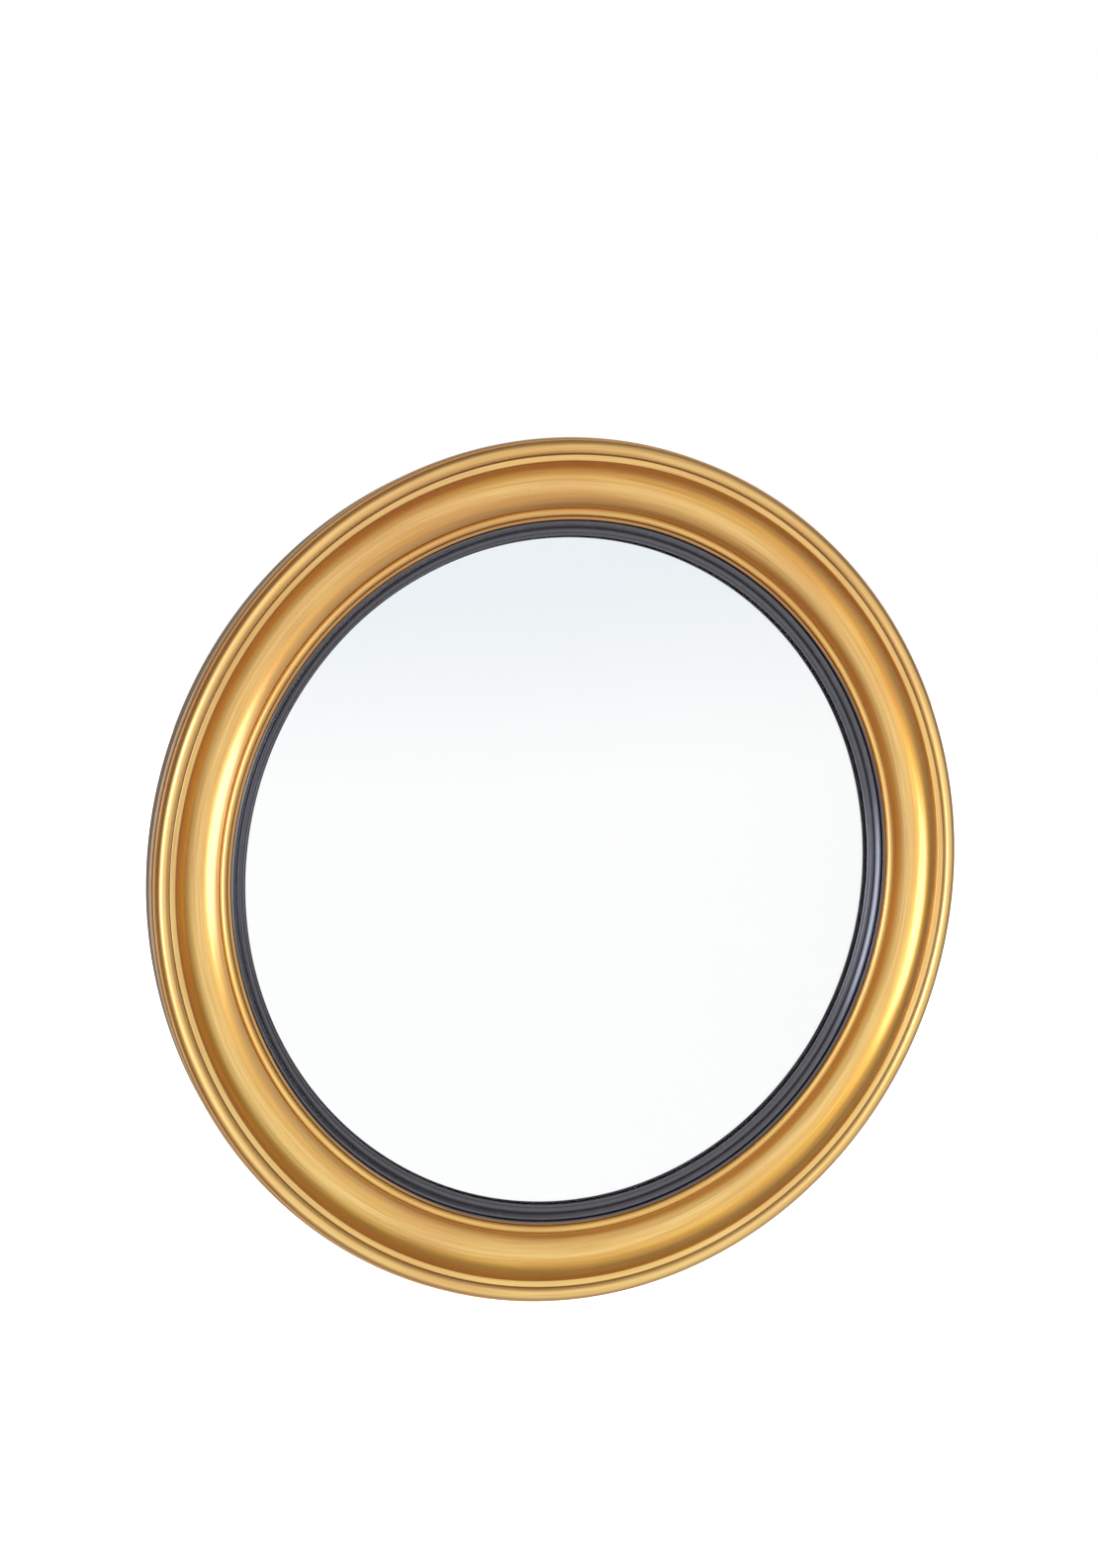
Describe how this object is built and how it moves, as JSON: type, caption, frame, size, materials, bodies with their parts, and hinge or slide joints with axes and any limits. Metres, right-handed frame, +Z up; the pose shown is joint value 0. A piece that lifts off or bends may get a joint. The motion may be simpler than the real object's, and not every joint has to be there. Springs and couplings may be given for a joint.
{
  "type": "convex butlers mirror",
  "caption": "Round wall mirror with a convex glass, a black reeded slip and a gilt scoop-moulded frame, hung on D rings with turn buttons holding its back.",
  "frame": {"origin": "on the wall plane, behind the middle of the glass", "axes": "+Z up, front of the mirror towards -Y, wall towards +Y, +X to the right as seen from the front"},
  "size_m": [0.5699, 0.0474, 0.57],
  "materials": {
    "gilt": "gold bronze paint rubbed over gesso, satin, darker in the quirks",
    "ebony": "black lacquer, glossy",
    "felt": "black felt",
    "glass": "clear polished convex glass",
    "silver": "silvered, backing painted grey",
    "foam": "closed-cell foam",
    "hardboard": "brown hardboard, matt",
    "plated_steel": "nickel-plated sheet, satin",
    "zinc": "zinc-plated",
    "brass": "brass-plated, lightly tarnished",
    "rubber": "matt black rubber"
  },
  "bodies": {
    "frame": {"frame_ring": "gilt", "slip_ring": "ebony", "sight_gasket": "felt", "mirror_glass": "glass", "silvering": "silver", "spacer_ring": "foam", "backing_board": "hardboard", "turn_button_screws": "zinc", "wall_bumpers": "rubber", "hanger_strap_right": "brass", "hanger_screws_right": "zinc", "hanger_strap_left": "brass", "hanger_screws_left": "zinc"},
    "turn_button_1": {"turn_button_1": "plated_steel"},
    "turn_button_2": {"turn_button_2": "plated_steel"},
    "turn_button_3": {"turn_button_3": "plated_steel"},
    "turn_button_4": {"turn_button_4": "plated_steel"},
    "turn_button_5": {"turn_button_5": "plated_steel"},
    "turn_button_6": {"turn_button_6": "plated_steel"},
    "turn_button_7": {"turn_button_7": "plated_steel"},
    "turn_button_8": {"turn_button_8": "plated_steel"},
    "hanger_ring_right": {"hanger_ring_right": "brass"},
    "hanger_ring_left": {"hanger_ring_left": "brass"}
  },
  "joints": [
    {"name": "turn_button_1_turn", "type": "hinge", "parent": "frame", "child": "turn_button_1", "pos_m": [0.2462, -0.0042, 0], "axis": [0, 1, 0], "continuous": true},
    {"name": "turn_button_2_turn", "type": "hinge", "parent": "frame", "child": "turn_button_2", "pos_m": [0.17409, -0.0042, 0.17409], "axis": [0, 1, 0], "continuous": true},
    {"name": "turn_button_3_turn", "type": "hinge", "parent": "frame", "child": "turn_button_3", "pos_m": [0, -0.0042, 0.2462], "axis": [0, 1, 0], "continuous": true},
    {"name": "turn_button_4_turn", "type": "hinge", "parent": "frame", "child": "turn_button_4", "pos_m": [-0.17409, -0.0042, 0.17409], "axis": [0, 1, 0], "continuous": true},
    {"name": "turn_button_5_turn", "type": "hinge", "parent": "frame", "child": "turn_button_5", "pos_m": [-0.2462, -0.0042, 0], "axis": [0, 1, 0], "continuous": true},
    {"name": "turn_button_6_turn", "type": "hinge", "parent": "frame", "child": "turn_button_6", "pos_m": [-0.17409, -0.0042, -0.17409], "axis": [0, 1, 0], "continuous": true},
    {"name": "turn_button_7_turn", "type": "hinge", "parent": "frame", "child": "turn_button_7", "pos_m": [0, -0.0042, -0.2462], "axis": [0, 1, 0], "continuous": true},
    {"name": "turn_button_8_turn", "type": "hinge", "parent": "frame", "child": "turn_button_8", "pos_m": [0.17409, -0.0042, -0.17409], "axis": [0, 1, 0], "continuous": true},
    {"name": "hanger_ring_right_swing", "type": "hinge", "parent": "frame", "child": "hanger_ring_right", "pos_m": [0.23722, -0.00284, 0.095], "axis": [0, 0, -1], "range_deg": [0, 174]},
    {"name": "hanger_ring_left_swing", "type": "hinge", "parent": "frame", "child": "hanger_ring_left", "pos_m": [-0.23722, -0.00284, 0.095], "axis": [0, 0, 1], "range_deg": [0, 174]}
  ]
}
